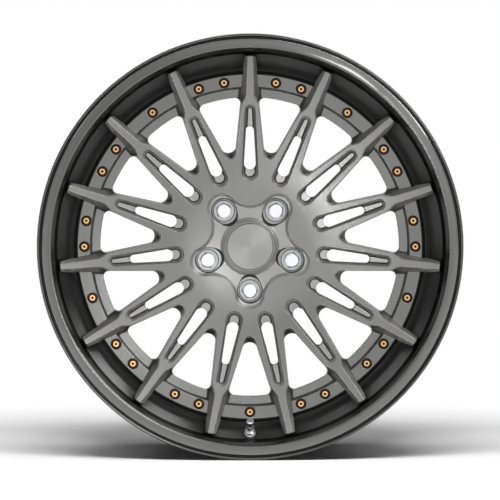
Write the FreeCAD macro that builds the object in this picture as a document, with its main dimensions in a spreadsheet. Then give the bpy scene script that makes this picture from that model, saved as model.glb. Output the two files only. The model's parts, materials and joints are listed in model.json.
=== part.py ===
import FreeCAD, Part
import Sketcher
import math
import os
from FreeCAD import Placement, Rotation, Vector

# Alloy wheel, three-piece, 20 x 9 J, five studs on 114.3 mm. Sizes in millimetres and degrees.
# Origin: middle of the rim on the spin axis. The spin axis is Y, the street side faces -Y, up is +Z.

SPOKES = 15
STUDS = 5
BOLT_STEPS = (-2, 0, 2, 3, 5)

SIZES = {
    # rim
    "rim_half_width": 114.3,
    "flange_thickness": 12.7,
    "bead_radius": 256.4,
    "flange_height": 17.3,
    "bead_fall": 1.8,
    "bead_length": 20.8,
    "hump_height": 1.4,
    "rolled_edge": 6.7,
    "edge_setback": 4.0,
    "lip_face_depth": 4.4,
    "lip_face_width": 11.8,
    "crown_radius": 24.0,
    "crown_lead": 0.29,
    "lip_band_depth": 8.5,
    "lip_band_run": 3.9,
    "lip_step_run": 1.8,
    "lip_wall_depth": 39.0,
    "lip_wall_run": 20.5,
    "lip_depth": 57.0,
    "lip_skin": 6.0,
    "rim_plate": 6.0,
    "rim_plate_width": 22.0,
    "seam_step": 2.6,
    "seam_chamfer": 2.6,
    "well_drop": 19.9,
    "well_skin": 5.5,
    "well_length": 46.0,
    "barrel_rise": 42.0,
    "barrel_drop": 5.9,
    "lip_round": 4.0,
    "corner_round": 3.0,
    "heel_round": 5.0,
    "well_round": 10.0,
    # wheel centre
    "hub_rise": 18.0,
    "tip_rise": 37.0,
    "ring_thickness": 12.0,
    "ledge_rise": 4.0,
    "web_drop": 4.0,
    "offset": 35.0,
    "face_radius": 84.0,
    "tip_gap": 3.8,
    "tip_thickness": 9.0,
    "ring_gap": 4.9,
    "ring_width": 16.8,
    "spigot_clearance": 0.2,
    "spigot_depth": 7.0,
    "spigot_width": 6.8,
    "web_radius": 128.0,
    "pad_radius": 78.0,
    "hub_bore_radius": 36.3,
    "hub_bore_depth": 21.0,
    "hub_chamfer": 1.5,
    # spokes: half widths at stations along the spoke
    "flare_length": 16.5,
    "flare_top": 13.3,
    "flare_foot": 14.0,
    "neck_inset": 12.8,
    "neck_top": 5.2,
    "neck_foot": 12.4,
    "ring_edge_top": 4.3,
    "ring_edge_foot": 9.4,
    "tip_top": 3.4,
    "tip_foot": 12.6,
    "foot_taper": 18.5,
    # windows between the spokes
    "window_angle": 17.9,
    "window_apex": 98.9,
    "window_nose": 17.0,
    "window_lift": 4.0,
    "window_apex_run": 3.9,
    "window_bottom_run": 8.3,
    "ledge_width": 13.1,
    "window_corner": 7.0,
    # slots along the spokes
    "slot_near": 96.2,
    "slot_near_radius": 10.6,
    "slot_inset": 1.6,
    "slot_far_radius": 7.0,
    "slot_depth": 9.0,
    "slot_wall": 4.6,
    "vent_start": 11.8,
    "vent_near_radius": 7.8,
    "vent_inset": 25.1,
    "vent_far_radius": 5.2,
    # hub recess and wheel nuts
    "star_depth": 6.0,
    "star_taper": 28.0,
    "star_reach": 4.35,
    "star_lobe_radius": 18.9,
    "star_waist_inset": 8.5,
    "collar_height": 5.0,
    "collar_slope": 4.3,
    "collar_land": 0.7,
    "stud_circle": 57.15,
    "stud_hole": 7.5,
    "nut_room": 2.8,
    "nut_pocket_reach": 9.35,
    "nut_pocket_inner_radius": 13.0,
    "nut_seat_depth": 28.0,
    "nut_seat_width": 4.7,
    "nut_seat_angle": 30.0,
    "nut_flange_land": 1.8,
    "nut_flange_height": 3.0,
    "nut_across_flats": 19.0,
    "nut_height": 18.0,
    "nut_crown_radius": 7.9,
    "nut_thread_radius": 6.05,
    # assembly bolts
    "bolt_inset": 7.2,
    "bolt_pitch": 9.0,
    "bolt_radius": 3.5,
    "bolt_clearance": 0.3,
    "bolt_recess_room": 0.6,
    "bolt_recess_depth": 6.0,
    "bolt_flange_radius": 6.2,
    "bolt_flange_height": 1.5,
    "bolt_head_radius": 4.3,
    "bolt_head_height": 4.8,
    "bolt_socket": 3.4,
    "bolt_socket_depth": 2.6,
    "bolt_end": 9.0,
    "back_nut_flange": 6.4,
    "back_nut_flats": 10.0,
    "back_nut_height": 6.5,
    # centre cap
    "cap_bore_radius": 28.5,
    "cap_relief": 2.0,
    "cap_relief_depth": 16.0,
    "cap_radius": 30.2,
    "cap_clearance": 0.4,
    "cap_proud": 0.2,
    "cap_flange_width": 2.2,
    "cap_flange_height": 2.2,
    "cap_skirt_clearance": 0.3,
    "cap_skirt_wall": 2.2,
    "cap_skirt_depth": 20.0,
    "cap_clip_bulge": 1.0,
    "cap_slit": 4.0,
    "cap_wire": 0.9,
    # tyre valve
    "valve_inset": 8.0,
    "valve_sink": 0.3,
    "valve_wall": 5.3,
    "valve_sleeve": 1.65,
    "valve_spot_room": 1.0,
    "valve_stem_radius": 4.1,
    "valve_neck_step": 0.4,
    "valve_neck_start": 9.5,
    "valve_stem_length": 22.0,
    "valve_air_bore": 2.1,
    "valve_head_radius": 8.0,
    "valve_head_height": 2.6,
    "valve_seal": 1.6,
    "valve_washer_radius": 7.4,
    "valve_washer_height": 1.0,
    "valve_nut_flats": 12.0,
    "valve_nut_height": 5.5,
    "valve_cap_radius": 5.0,
    "valve_cap_start": 13.0,
    "valve_cap_end": 27.0,
    "valve_cap_floor": 3.2,
}


class Size:
    """A number together with the sheet expression that drives it."""

    def __init__(self, number, text=None):
        self.number = float(number)
        self.text = text or "(%.9g)" % self.number

    def join(self, sign, other, number):
        return Size(number, "(%s %s %s)" % (self.text, sign, other.text))

    def __add__(self, other):
        other = size(other)
        return self.join("+", other, self.number + other.number)

    def __sub__(self, other):
        other = size(other)
        return self.join("-", other, self.number - other.number)

    def __mul__(self, other):
        other = size(other)
        return self.join("*", other, self.number * other.number)

    def __truediv__(self, other):
        other = size(other)
        return self.join("/", other, self.number / other.number)

    def __radd__(self, other):
        return size(other) + self

    def __rsub__(self, other):
        return size(other) - self

    def __rmul__(self, other):
        return size(other) * self

    def __rtruediv__(self, other):
        return size(other) / self

    def __neg__(self):
        return Size(-self.number, "(0 - %s)" % self.text)


def size(value):
    return value if isinstance(value, Size) else Size(value)


def root(value):
    return Size(math.sqrt(value.number), "sqrt(%s)" % value.text)


def sine(angle):
    return Size(math.sin(math.radians(angle.number)), "sin(%s)" % angle.text)


def cosine(angle):
    return Size(math.cos(math.radians(angle.number)), "cos(%s)" % angle.text)


def arctangent(ratio):
    return Size(math.degrees(math.atan(ratio.number)), "(atan(%s) / 1 deg)" % ratio.text)


doc = FreeCAD.newDocument("alloy_wheel")
sheet = doc.addObject("Spreadsheet::Sheet", "sizes")


class Driven:
    """The sheet's sizes by name. Setting one writes it to the sheet's next row."""

    def __setattr__(self, name, value):
        row = len(vars(self)) + 1
        content = "=" + value.text.replace("sizes.", "") if isinstance(value, Size) else str(value)
        sheet.set("A%d" % row, name)
        sheet.set("B%d" % row, content)
        sheet.setAlias("B%d" % row, name)
        super().__setattr__(name, Size(size(value).number, "sizes." + name))


D = Driven()
for alias, number in SIZES.items():
    setattr(D, alias, number)

# Rim sizes that follow from others
D.flange_radius = D.bead_radius + D.flange_height
D.lip_face_radius = D.flange_radius - D.rolled_edge
D.lip_corner_radius = D.lip_face_radius - D.lip_face_width
D.lip_band_radius = D.lip_corner_radius - D.lip_band_run
D.lip_wall_radius = D.lip_band_radius - D.lip_step_run
D.lip_foot_radius = D.lip_wall_radius - D.lip_wall_run
D.rim_plate_bore = D.lip_foot_radius - D.rim_plate_width
D.seam_radius = D.lip_foot_radius + D.seam_step
D.well_radius = D.bead_radius - D.well_drop
D.barrel_radius = D.bead_radius - D.barrel_drop
D.lip_front = -(D.rim_half_width + D.flange_thickness)
D.joint_plane = D.lip_front + D.lip_depth
D.seam_plane = D.joint_plane + D.rim_plate
D.barrel_face = D.seam_plane + D.rim_plate
D.well_end = D.barrel_face + D.well_length

# Wheel centre sizes that follow from the rim
D.hub_front = D.joint_plane - D.hub_rise
D.tip_front = D.joint_plane - D.tip_rise
D.ring_front = D.joint_plane - D.ring_thickness
D.ledge_front = D.joint_plane - D.ledge_rise
D.web_back = D.joint_plane + D.web_drop
D.pad_plane = -D.offset
D.tip_radius = D.lip_wall_radius - D.tip_gap
D.ring_radius = D.lip_foot_radius - D.ring_gap
D.ring_inner_radius = D.ring_radius - D.ring_width
D.spigot_radius = D.rim_plate_bore - D.spigot_clearance
D.neck_start = D.ring_inner_radius - D.neck_inset
D.flare_start = D.neck_start - D.flare_length
D.window_bottom = D.window_apex + D.window_nose
D.window_level = D.hub_front - D.window_lift
D.window_apex_back = D.window_apex + D.window_apex_run
D.window_bottom_back = D.window_bottom + D.window_bottom_run
D.window_radius = D.ring_inner_radius - D.ledge_width
D.slot_far = D.flare_start - D.slot_inset
D.vent_near = D.slot_near + D.vent_start
D.vent_far = D.slot_far - D.vent_inset

# Cap, nut, bolt and valve sizes that follow from what they fit
D.cap_flange_radius = D.cap_radius + D.cap_flange_width
D.cap_recess_radius = D.cap_flange_radius + D.cap_clearance
D.cap_front = D.hub_front - D.cap_proud
D.cap_relief_radius = D.cap_bore_radius + D.cap_relief
D.cap_skirt_radius = D.cap_bore_radius - D.cap_skirt_clearance
D.cap_clip_radius = D.cap_skirt_radius + D.cap_clip_bulge
D.collar_top = D.cap_recess_radius + D.collar_land
D.collar_foot = D.collar_top + D.collar_slope
D.star_lobe = D.stud_circle + D.star_reach
D.star_waist = D.star_lobe - D.star_waist_inset
D.nut_seat_plane = D.hub_front + D.nut_seat_depth
D.nut_seat_radius = D.stud_hole + D.nut_seat_width
D.nut_flange_radius = D.nut_seat_radius + D.nut_flange_land
D.nut_pocket_radius = D.nut_flange_radius + D.nut_room
D.nut_pocket_inner = D.stud_circle - D.nut_pocket_reach
D.bolt_circle = D.ring_inner_radius + D.bolt_inset
D.bolt_hole = D.bolt_radius + D.bolt_clearance
D.bolt_recess_radius = D.bolt_flange_radius + D.bolt_recess_room
D.valve_distance = D.lip_wall_radius - D.valve_inset
D.valve_hole = D.valve_stem_radius + D.valve_sleeve
D.valve_neck_radius = D.valve_stem_radius - D.valve_neck_step
D.valve_spot = D.valve_head_radius + D.valve_spot_room
doc.recompute()
ZERO = Size(0)


# Sketches

def bind(item, prop, value):
    item.setExpression(prop, value.text)


def origin_part(body, role):
    return next(item for item in body.Origin.OriginFeatures if item.Role == role)


def new_body(name):
    return doc.addObject("PartDesign::Body", name)


def new_sketch(body, name, role, lift=None, turn=0.0, tilt=None, shift=None):
    """Sketch on an origin plane, lifted along its normal, turned about it or tilted about its own x axis."""
    sketch = body.newObject("Sketcher::SketchObject", name)
    sketch.AttachmentSupport = [(origin_part(body, role), "")]
    sketch.MapMode = "FlatFace"
    axis = Vector(1, 0, 0) if tilt else Vector(0, 0, 1)
    angle = tilt.number if tilt else turn
    base = Vector(0, shift.number if shift else 0, lift.number if lift else 0)
    sketch.AttachmentOffset = Placement(base, Rotation(axis, angle))
    if lift:
        bind(sketch, "AttachmentOffset.Base.z", lift)
    if shift:
        bind(sketch, "AttachmentOffset.Base.y", shift)
    if tilt:
        bind(sketch, "AttachmentOffset.Rotation.Angle", tilt)
    return sketch


def pin(sketch, item, end, x, y):
    """Fix one point of a sketch element at driven coordinates."""
    for kind, axis, value in (("DistanceX", -2, size(x)), ("DistanceY", -1, size(y))):
        if value.text == ZERO.text:
            sketch.addConstraint(Sketcher.Constraint("PointOnObject", item, end, axis))
        else:
            index = sketch.addConstraint(Sketcher.Constraint(kind, -1, 1, item, end, value.number))
            bind(sketch, "Constraints[%d]" % index, value)


def arc_between(start, stop, radius):
    """Short arc from start to stop: centre on the left for a positive radius."""
    chord = stop - start
    reach = math.sqrt(max(radius * radius - chord.Length ** 2 / 4, 0.0))
    side = Vector(-chord.y, chord.x, 0).normalize() * math.copysign(reach, radius)
    centre = (start + stop) * 0.5 + side
    first, last = (start, stop) if radius > 0 else (stop, start)
    angles = [math.atan2(p.y - centre.y, p.x - centre.x) for p in (first, last)]
    return Part.ArcOfCircle(Part.Circle(centre, Vector(0, 0, 1), abs(radius)), angles[0], angles[1])


def draw(sketch, vertices):
    """Closed outline: (x, y) starts a straight edge, (x, y, radius) starts an arc."""
    count = len(vertices)
    spots = [Vector(size(v[0]).number, size(v[1]).number, 0) for v in vertices]
    ends = []
    for number, vertex in enumerate(vertices):
        start, stop = spots[number], spots[(number + 1) % count]
        if len(vertex) == 2:
            item = sketch.addGeometry(Part.LineSegment(start, stop), False)
            ends.append((item, 1, 2))
        else:
            radius = size(vertex[2])
            item = sketch.addGeometry(arc_between(start, stop, radius.number), False)
            ends.append((item, 1, 2) if radius.number > 0 else (item, 2, 1))
    for number, (item, first, last) in enumerate(ends):
        after = ends[(number + 1) % count]
        sketch.addConstraint(Sketcher.Constraint("Coincident", item, last, after[0], after[1]))
    for (item, first, last), vertex in zip(ends, vertices):
        pin(sketch, item, first, vertex[0], vertex[1])
        if len(vertex) == 3:
            radius = size(vertex[2])
            index = sketch.addConstraint(Sketcher.Constraint("Radius", item, abs(radius.number)))
            bind(sketch, "Constraints[%d]" % index, radius if radius.number > 0 else -radius)


def draw_circle(sketch, x, y, radius):
    spot = Vector(size(x).number, size(y).number, 0)
    item = sketch.addGeometry(Part.Circle(spot, Vector(0, 0, 1), radius.number), False)
    pin(sketch, item, 3, x, y)
    index = sketch.addConstraint(Sketcher.Constraint("Radius", item, radius.number))
    bind(sketch, "Constraints[%d]" % index, radius)


def hexagon(across):
    """Corners of a hexagon by its width across flats."""
    reach = across / math.sqrt(3)
    turns = [math.radians(60 * step) for step in range(6)]
    return [(reach * round(math.cos(a), 9), reach * round(math.sin(a), 9)) for a in turns]


def capsule(near, near_radius, far, far_radius):
    """Outline round two circles that sit on the sketch's y axis."""
    lean = (near_radius - far_radius) / (far - near)
    flat = root(1 - lean * lean)
    near_x, near_y = near_radius * flat, near + near_radius * lean
    far_x, far_y = far_radius * flat, far + far_radius * lean
    return [
        (ZERO, near - near_radius, near_radius),
        (near_x, near_y),
        (far_x, far_y, far_radius),
        (ZERO, far + far_radius, far_radius),
        (-far_x, far_y),
        (-near_x, near_y, near_radius),
    ]


# Features

def revolve(body, name, vertices, kind="PartDesign::Revolution", angle=360.0, off_axis=None, tilt=None):
    """Turn a profile of (along the axis, radius) about the body's Y axis or a line parallel to it."""
    sketch = new_sketch(body, name + "_profile", "YZ_Plane", tilt=tilt)
    draw(sketch, vertices)
    reference = "H_Axis"
    if off_axis:
        low, high = Vector(-10, off_axis.number, 0), Vector(10, off_axis.number, 0)
        line = sketch.addGeometry(Part.LineSegment(low, high), True)
        pin(sketch, line, 1, Size(-10), off_axis)
        pin(sketch, line, 2, Size(10), off_axis)
        reference = "Axis0"
    feature = body.newObject(kind, name)
    feature.Profile = sketch
    feature.ReferenceAxis = (sketch, [reference])
    feature.Angle = angle
    body.Tip = feature
    doc.recompute()
    return feature


def extrude(body, name, sketch, length, kind="PartDesign::Pocket", taper=None, backward=False):
    feature = body.newObject(kind, name)
    feature.Profile = sketch
    feature.Reversed = backward
    bind(feature, "Length", length)
    if taper:
        bind(feature, "TaperAngle", taper)
    body.Tip = feature
    doc.recompute()
    return feature


def cut_loft(body, name, sketches):
    feature = body.newObject("PartDesign::SubtractiveLoft", name)
    feature.Profile = sketches[0]
    feature.Sections = sketches[1:]
    feature.Ruled = True
    feature.Refine = False
    body.Tip = feature
    doc.recompute()
    return feature


def repeat(body, feature, count, angle=360.0):
    """Repeat a feature evenly round the spin axis, clockwise from the street side."""
    pattern = body.newObject("PartDesign::PolarPattern", feature.Name + "_ring")
    pattern.Originals = [feature]
    pattern.Axis = (origin_part(body, "Y_Axis"), [""])
    pattern.Angle = angle
    pattern.Occurrences = count
    pattern.Refine = False
    body.Tip = pattern
    doc.recompute()
    return pattern


def repeat_whole(body, name, count):
    """Repeat everything built so far evenly round the spin axis."""
    pattern = body.newObject("PartDesign::PolarPattern", name)
    pattern.TransformMode = "Whole shape"
    pattern.Axis = (origin_part(body, "Y_Axis"), [""])
    pattern.Angle = 360.0
    pattern.Occurrences = count
    body.Tip = pattern
    doc.recompute()
    return pattern


def round_edges(body, name, radius, spots):
    """Fillet the circular edges that pass nearest to the given (along the axis, radius) spots."""
    base = body.Tip
    names = []
    for along, distance in spots:
        found = [
            (abs(edge.Curve.Center.y - along.number) + abs(edge.Curve.Radius - distance.number), number)
            for number, edge in enumerate(base.Shape.Edges, 1)
            if isinstance(edge.Curve, Part.Circle)
        ]
        names.append("Edge%d" % min(found)[1])
    feature = body.newObject("PartDesign::Fillet", name)
    feature.Base = (base, names)
    bind(feature, "Radius", radius)
    body.Tip = feature
    doc.recompute()
    return feature


def turned(angle, x, y):
    """Rotate a driven point about the sketch origin by a fixed angle."""
    c, s = math.cos(math.radians(angle)), math.sin(math.radians(angle))
    return c * x - s * y, s * x + c * y


# Bolt pattern shared by the centre and both rim halves

def bolt_spots():
    """Bolt positions of one fifth of the ring, in the sketch plane that faces the street."""
    for step in BOLT_STEPS:
        angle = D.bolt_pitch * step
        yield D.bolt_circle * sine(angle), -(D.bolt_circle * cosine(angle))


def bolt_holes(body, name, front, radius, depth, turn=0.0):
    """One fifth of the ring's bolt holes."""
    sketch = new_sketch(body, name + "_sketch", "XZ_Plane", lift=-front, turn=turn)
    for x, y in bolt_spots():
        draw_circle(sketch, x, y, radius)
    return extrude(body, name, sketch, depth)


# Wheel centre

HALF_GAP = 180.0 / SPOKES
SECTOR = 360.0 / STUDS
SECTOR_SPOKES = SPOKES // STUDS
SECTOR_START = Size(-HALF_GAP)
STUD_TURN = 36.0
rise = (D.hub_front - D.tip_front) / (D.tip_radius - D.face_radius)


def spoke_front(station):
    """Height of the spoke's front face at a distance from the axis."""
    return D.hub_front - rise * (station - D.face_radius)


def build_centre():
    """One fifth of the forging, from mid-window to mid-window with one stud hole, then all five."""
    body = new_body("wheel_centre")
    recess_floor = D.hub_front + D.star_depth
    bore_end = D.pad_plane - D.hub_bore_depth
    relief_front = recess_floor + D.cap_relief_depth
    spigot_end = D.joint_plane + D.spigot_depth
    spigot_inner = D.spigot_radius - D.spigot_width
    revolve(body, "forging", [
        (D.hub_front, D.cap_recess_radius),
        (D.hub_front, D.face_radius),
        (D.tip_front, D.tip_radius),
        (D.tip_front + D.tip_thickness, D.tip_radius),
        (D.ring_front, D.ring_radius),
        (D.joint_plane, D.ring_radius),
        (D.joint_plane, D.spigot_radius),
        (spigot_end, D.spigot_radius),
        (spigot_end, spigot_inner),
        (D.web_back, spigot_inner - 3),
        (D.web_back, D.web_radius),
        (D.pad_plane - 3, D.pad_radius + 4),
        (D.pad_plane, D.pad_radius),
        (D.pad_plane, D.hub_bore_radius + D.hub_chamfer),
        (D.pad_plane - D.hub_chamfer, D.hub_bore_radius),
        (bore_end, D.hub_bore_radius),
        (bore_end, D.cap_relief_radius),
        (relief_front, D.cap_relief_radius),
        (relief_front, D.cap_bore_radius),
        (recess_floor, D.cap_bore_radius),
        (recess_floor, D.cap_recess_radius),
    ], angle=SECTOR, tilt=SECTOR_START)
    cut_flanks(body)
    cut_ledges(body)
    cut_windows(body)
    cut_slots(body)
    cut_hub(body)
    turn = 180.0 - STUD_TURN
    bolt_holes(body, "bolt_recess", D.ring_front, D.bolt_recess_radius, D.bolt_recess_depth, turn)
    bolt_holes(body, "bolt_hole", D.ring_front, D.bolt_hole, D.joint_plane - D.ring_front + 1, turn)
    repeat_whole(body, "five_sectors", STUDS)
    return body


def repeat_spokes(body, feature):
    return repeat(body, feature, SECTOR_SPOKES, 2 * HALF_GAP * (SECTOR_SPOKES - 1))


def repeat_gaps(body, feature):
    return repeat(body, feature, SECTOR_SPOKES + 1, 2 * HALF_GAP * SECTOR_SPOKES)


def cut_flanks(body):
    """Slope both sides of every spoke down to the bolt ring."""
    beyond = D.tip_radius + 14
    step = (beyond - D.ring_radius) / (D.tip_radius - D.ring_radius)
    end_top = D.ring_edge_top + (D.tip_top - D.ring_edge_top) * step
    end_foot = D.ring_edge_foot + (D.tip_foot - D.ring_edge_foot) * step
    stations = (
        (D.flare_start, D.flare_top, D.flare_foot),
        (D.neck_start, D.neck_top, D.neck_foot),
        (D.ring_radius, D.ring_edge_top, D.ring_edge_foot),
        (beyond, end_top, end_foot),
    )
    clear = 6
    for side, word in ((1, "right"), (-1, "left")):
        sketches = []
        for number, (station, top, foot) in enumerate(stations, 1):
            front = spoke_front(station)
            slope = (foot - top) / (D.ring_front - front)
            middle = station * math.tan(math.radians(HALF_GAP)) + 1
            sketch = new_sketch(body, "flank_%s_%d" % (word, number), "XY_Plane", lift=station)
            draw(sketch, [
                (side * (top - slope * clear), front - clear),
                (side * foot, D.ring_front),
                (side * middle, D.ring_front),
                (side * middle, front - clear),
            ])
            sketches.append(sketch)
        repeat_spokes(body, cut_loft(body, "flank_" + word, sketches))


def beside_spoke(station, half_width):
    """Point beside a spoke, in the frame of the gap next to it."""
    c, s = math.cos(math.radians(HALF_GAP)), math.sin(math.radians(HALF_GAP))
    return s * station - c * half_width, c * station + s * half_width


def cut_ledges(body):
    """Sink the ledge between the bolt ring and the window, with sloped walls."""
    fall = (D.neck_foot - D.ring_edge_foot) / (D.ring_radius - D.neck_start)
    margin = 0.3
    low_x, low_y = beside_spoke(D.neck_start - 8, D.neck_foot + fall * 8 + margin)
    high_x, high_y = beside_spoke(D.ring_radius, D.ring_edge_foot + margin)
    run_x, run_y = high_x - low_x, high_y - low_y
    reach = D.ring_inner_radius
    square = run_x * run_x + run_y * run_y
    ahead = (low_x * run_x + low_y * run_y) / square
    short = (reach * reach - low_x * low_x - low_y * low_y) / square
    share = root(ahead * ahead + short) - ahead
    top_x, top_y = low_x + run_x * share, low_y + run_y * share
    sketch = new_sketch(body, "ledge_sketch", "XZ_Plane", lift=-D.ring_front, turn=HALF_GAP)
    draw(sketch, [
        (-low_x, low_y),
        (low_x, low_y),
        (top_x, top_y, reach),
        (-top_x, top_y),
    ])
    ledge = extrude(body, "ledge", sketch, D.ledge_front - D.ring_front, taper=-D.foot_taper)
    repeat_gaps(body, ledge)


def window_outline(apex, bottom):
    """Rounded wedge between two spokes, symmetric about the sketch's y axis."""
    s, c = sine(D.window_angle), cosine(D.window_angle)
    reach = (bottom - apex) / (1 - s)
    round_radius = reach * s
    round_x = round_radius * c
    round_y = apex + reach - round_radius * s
    inset = apex + D.window_corner / s
    arm = D.window_radius - D.window_corner
    run = root(arm * arm - inset * inset * s * s) - inset * c
    corner_x, corner_y = run * s, inset + run * c
    side_x, side_y = corner_x + D.window_corner * c, corner_y - D.window_corner * s
    ratio = D.window_radius / arm
    rim_x, rim_y = corner_x * ratio, corner_y * ratio
    return [
        (ZERO, bottom, round_radius),
        (round_x, round_y),
        (side_x, side_y, D.window_corner),
        (rim_x, rim_y, D.window_radius),
        (-rim_x, rim_y, D.window_corner),
        (-side_x, side_y),
        (-round_x, round_y, round_radius),
    ]


def cut_windows(body):
    """Cut the windows through, narrower at the back than at the front."""
    sketches = []
    for number, level in enumerate((D.tip_front - 5, D.pad_plane + 1), 1):
        share = (level - D.window_level) / (D.web_back - D.window_level)
        apex = D.window_apex + (D.window_apex_back - D.window_apex) * share
        bottom = D.window_bottom + (D.window_bottom_back - D.window_bottom) * share
        sketch = new_sketch(body, "window_%d" % number, "XZ_Plane", lift=-level, turn=HALF_GAP)
        draw(sketch, window_outline(apex, bottom))
        sketches.append(sketch)
    repeat_gaps(body, cut_loft(body, "window", sketches))


def cut_slots(body):
    """Sloped recess along every spoke with a slot through its floor."""
    tilt = arctangent(rise)
    along = cosine(tilt)
    sketches = []
    for number, lift in enumerate((Size(5), -D.slot_depth), 1):
        growth = D.slot_wall * lift / D.slot_depth
        outline = capsule(
            (D.slot_near - D.face_radius) / along, D.slot_near_radius + growth,
            (D.slot_far - D.face_radius) / along, D.slot_far_radius + growth,
        )
        sketch = new_sketch(
            body, "slot_%d" % number, "XZ_Plane",
            lift=lift * along - D.hub_front, tilt=tilt, shift=D.face_radius - lift * sine(tilt),
        )
        draw(sketch, outline)
        sketches.append(sketch)
    repeat_spokes(body, cut_loft(body, "slot", sketches))
    sketch = new_sketch(body, "vent_sketch", "XZ_Plane", lift=-D.tip_front)
    draw(sketch, capsule(D.vent_near, D.vent_near_radius, D.vent_far, D.vent_far_radius))
    repeat_spokes(body, extrude(body, "vent", sketch, D.pad_plane - D.tip_front))


def star_outline():
    """Five round lobes joined by inward curves, one lobe pointing down."""
    half = 180.0 / STUDS
    c, s = math.cos(math.radians(half)), math.sin(math.radians(half))
    gap = D.star_waist - D.star_lobe_radius
    centre = (D.star_lobe * D.star_lobe - gap * gap) / (2 * (D.star_lobe * c - gap))
    waist_radius = centre - D.star_waist
    share = D.star_lobe_radius / (D.star_lobe_radius + waist_radius)
    meet_x = centre * s * share
    meet_y = D.star_lobe + (centre * c - D.star_lobe) * share
    outline = []
    for number in range(STUDS):
        angle = 180.0 + 2 * half * number
        outline.append((*turned(angle, meet_x, meet_y), D.star_lobe_radius))
        outline.append((*turned(angle, -meet_x, meet_y), -waist_radius))
    return outline


def cut_hub(body):
    """Star-shaped recess, cap collar, nut pockets and stud holes."""
    floor = D.hub_front + D.star_depth
    sketch = new_sketch(body, "star_sketch", "XZ_Plane", lift=-D.hub_front)
    draw(sketch, star_outline())
    extrude(body, "star", sketch, D.star_depth, taper=-D.star_taper)
    revolve(body, "collar", [
        (floor + 1, D.cap_recess_radius),
        (floor + 1, D.collar_foot),
        (floor, D.collar_foot),
        (floor - D.collar_height, D.collar_top),
        (floor - D.collar_height, D.cap_recess_radius),
    ], angle=SECTOR, tilt=SECTOR_START)
    top = new_sketch(body, "nut_pocket_1", "XZ_Plane", lift=D.collar_height + 1 - floor, turn=-STUD_TURN)
    draw(top, capsule(
        D.nut_pocket_inner, D.nut_pocket_inner_radius,
        D.stud_circle, D.nut_pocket_radius,
    ))
    low = new_sketch(body, "nut_pocket_2", "XZ_Plane", lift=-D.nut_seat_plane, turn=-STUD_TURN)
    draw(low, capsule(
        D.stud_circle - 3, D.nut_pocket_radius - 1.6,
        D.stud_circle, D.nut_pocket_radius - 0.8,
    ))
    cut_loft(body, "nut_pocket", [top, low])
    fall = (D.nut_seat_radius - D.stud_hole) * cosine(D.nut_seat_angle) / sine(D.nut_seat_angle)
    line = D.stud_circle
    revolve(body, "stud_hole", [
        (D.nut_seat_plane, line),
        (D.nut_seat_plane, line + D.nut_seat_radius),
        (D.nut_seat_plane + fall, line + D.stud_hole),
        (D.pad_plane, line + D.stud_hole),
        (D.pad_plane, line),
    ], kind="PartDesign::Groove", off_axis=line, tilt=Size(STUD_TURN))


# Rim halves

lip_wall_front = D.lip_front + D.lip_wall_depth
lip_band_front = D.lip_front + D.lip_band_depth
lip_crown_front = D.lip_front - D.crown_lead
lip_face_front = D.lip_front + D.lip_face_depth
lip_edge_front = D.lip_front + D.edge_setback
wall_run = D.lip_wall_radius - D.lip_foot_radius
wall_depth = D.joint_plane - lip_wall_front
wall_length = root(wall_run * wall_run + wall_depth * wall_depth)
knee_along = lip_wall_front + D.lip_skin * wall_run / wall_length
knee_radius = D.lip_wall_radius + D.lip_skin * wall_depth / wall_length
lip_seam_along = D.seam_plane - D.seam_chamfer
lip_seam_radius = knee_radius - (lip_seam_along - knee_along) * wall_run / wall_depth


def rim_flange(side, setback):
    """Rolled flange edge, bead seat and hump, from the flange's tip to the hump's inner end."""
    edge = D.flange_radius
    face = side * D.rim_half_width
    tip = side * (D.rim_half_width + D.flange_thickness - setback)
    toe = face - side * D.bead_length
    toe_radius = D.bead_radius - D.bead_fall
    return [
        (tip, edge - 1.9),
        (tip - side * 0.8, edge - 0.5),
        (tip - side * 2.5, edge),
        (face + side * 5.7, edge),
        (face + side * 2.2, edge - 2.2),
        (face, edge - 7.7),
        (face, D.bead_radius),
        (toe, toe_radius),
        (toe - side * 3, toe_radius + D.hump_height),
        (toe - side * 6.5, toe_radius + D.hump_height),
    ]


def build_lip():
    body = new_body("outer_lip")
    revolve(body, "lip", [
        (D.joint_plane, D.rim_plate_bore),
        (D.joint_plane, D.lip_foot_radius),
        (lip_wall_front, D.lip_wall_radius),
        (lip_band_front, D.lip_band_radius),
        (lip_crown_front, D.lip_corner_radius, -D.crown_radius),
        (lip_face_front, D.lip_face_radius),
        (lip_face_front + 2, D.lip_face_radius + 1.2),
        (lip_face_front + 2, D.lip_face_radius + 2.3),
        (lip_edge_front + 0.6, D.flange_radius - 3.1),
    ] + rim_flange(-1, D.edge_setback) + [
        (knee_along, knee_radius),
        (lip_seam_along, lip_seam_radius),
        (D.seam_plane, D.seam_radius),
        (D.seam_plane, D.rim_plate_bore),
    ])
    round_edges(body, "lip_foot_round", D.lip_round, [(D.joint_plane, D.lip_foot_radius)])
    round_edges(body, "lip_corner_round", D.corner_round, [(lip_crown_front, D.lip_corner_radius)])
    round_edges(body, "bead_heel_round", D.heel_round, [(-D.rim_half_width, D.bead_radius)])
    repeat(body, bolt_holes(body, "bolt_hole_lip", D.joint_plane, D.bolt_hole, D.rim_plate), STUDS)
    cut_valve_seat(body)
    return body


valve_slope = wall_depth / wall_run
valve_tilt = arctangent(1 / valve_slope)
valve_along = D.joint_plane - (D.valve_distance - D.lip_foot_radius) * valve_slope
valve_base_y = valve_along + D.valve_sink * cosine(90 - valve_tilt)
valve_base_z = -(D.valve_distance + D.valve_sink * sine(90 - valve_tilt))


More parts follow.
